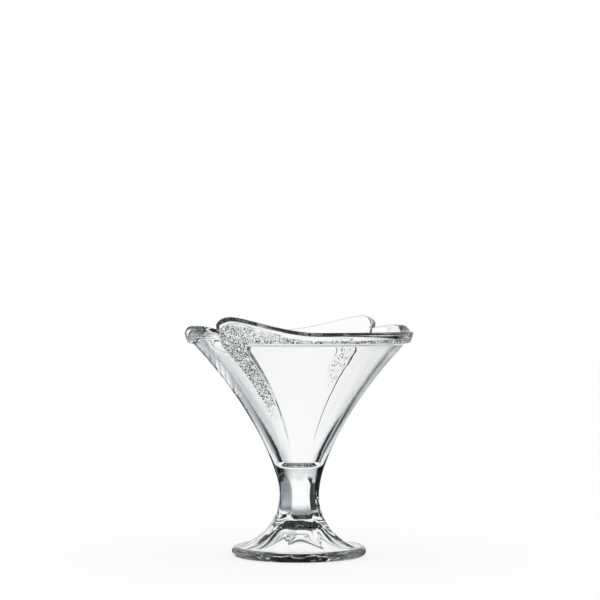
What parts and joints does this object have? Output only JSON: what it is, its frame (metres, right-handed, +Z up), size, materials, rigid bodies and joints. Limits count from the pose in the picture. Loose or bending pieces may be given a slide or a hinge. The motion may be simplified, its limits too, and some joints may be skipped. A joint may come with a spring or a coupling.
{
  "type": "footed dessert glass",
  "caption": "Clear pressed dessert glass on a panelled stem and round hollow foot; its flared bowl is of overlapping petals with stippled edges and a wavy rim.",
  "frame": {"origin": "centre of the foot's underside, on the table", "axes": "+Z up along the stem, -Y towards the viewer of the picture, +X to the viewer's right"},
  "size_m": [0.1138, 0.1144, 0.1194],
  "materials": {
    "clear_glass": "clear soda-lime glass, pressed and fire polished, with a fine stipple on the raised bands of the petals"
  },
  "bodies": {
    "root": {"foot": "clear_glass", "stem": "clear_glass", "bowl_base": "clear_glass", "front_petal": "clear_glass", "back_petal": "clear_glass"}
  },
  "joints": []
}
